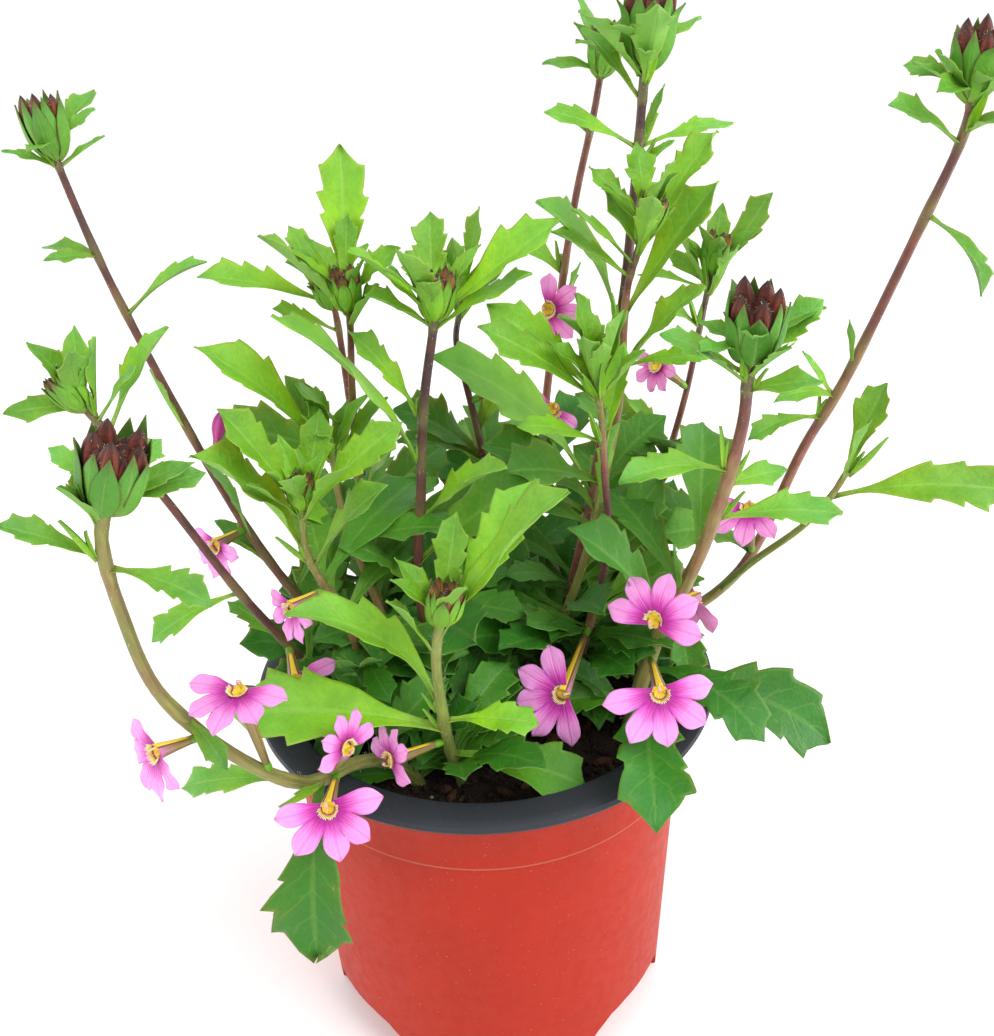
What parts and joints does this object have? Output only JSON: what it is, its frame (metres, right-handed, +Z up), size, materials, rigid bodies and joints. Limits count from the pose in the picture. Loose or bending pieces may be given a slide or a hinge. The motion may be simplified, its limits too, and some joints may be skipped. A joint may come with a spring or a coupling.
{
  "type": "potted fan flower",
  "caption": "Potted fan flower: arching leafy stems with toothed leaves, bud heads at the tips and pink half-fan flowers, in a tapered two-tone nursery pot filled with soil.",
  "frame": {"origin": "centre of the pot's flat underside", "axes": "+Z up along the pot's axis; the front with the low spreading flowers faces -Y; +X to the plant's right as seen from the front"},
  "size_m": [0.2062, 0.1291, 0.2544],
  "materials": {
    "pot_shell": "satin moulded plastic, terracotta red outside and slate black inside and on the lip",
    "soil": "damp dark potting soil, rough crumbs",
    "foliage": "soft green leaf and stem, slightly glossy with fine hairs; older stems purple-brown, low leaves darker",
    "buds": "dry reddish-brown bud scales with paler tips",
    "petals": "soft matt petal, pink with a magenta and yellow throat",
    "closed_flower": "soft matt deep pink, unopened"
  },
  "bodies": {
    "root": {"pot": "pot_shell", "soil": "soil", "buds_far_left": "buds", "buds_left_front": "buds", "buds_left_middle": "buds", "buds_upright_left": "buds", "buds_upright_left_back": "buds", "buds_upright_middle": "buds", "buds_tall_back": "buds", "buds_tall_middle": "buds", "buds_leafy_right": "buds", "buds_back_right": "buds", "buds_far_right": "buds", "buds_right_front": "buds", "buds_front_middle": "buds", "buds_inner_left": "buds", "flower_01": "petals", "flower_02": "petals", "flower_03": "petals", "flower_04": "petals", "flower_05": "petals", "flower_06": "petals", "flower_07": "petals", "flower_08": "petals", "flower_09": "petals", "flower_10": "petals", "flower_11": "petals", "flower_12": "petals", "flower_13": "petals", "flower_14": "petals", "flower_15": "petals", "flower_16": "petals", "flower_17": "petals", "flower_closed": "closed_flower", "leafy_stem_far_left": "foliage", "leafy_stem_left_front": "foliage", "leafy_stem_left_middle": "foliage", "leafy_stem_upright_left": "foliage", "leafy_stem_upright_left_back": "foliage", "leafy_stem_upright_middle": "foliage", "leafy_stem_upright_middle_back": "foliage", "leafy_stem_tall_back": "foliage", "leafy_stem_tall_middle": "foliage", "leafy_stem_leafy_right": "foliage", "leafy_stem_back_right": "foliage", "leafy_stem_far_right": "foliage", "leafy_stem_right_front": "foliage", "leafy_stem_inner_middle": "foliage", "leafy_stem_front_middle": "foliage", "leafy_stem_inner_left": "foliage", "leafy_stem_inner_left_back": "foliage"}
  },
  "joints": []
}
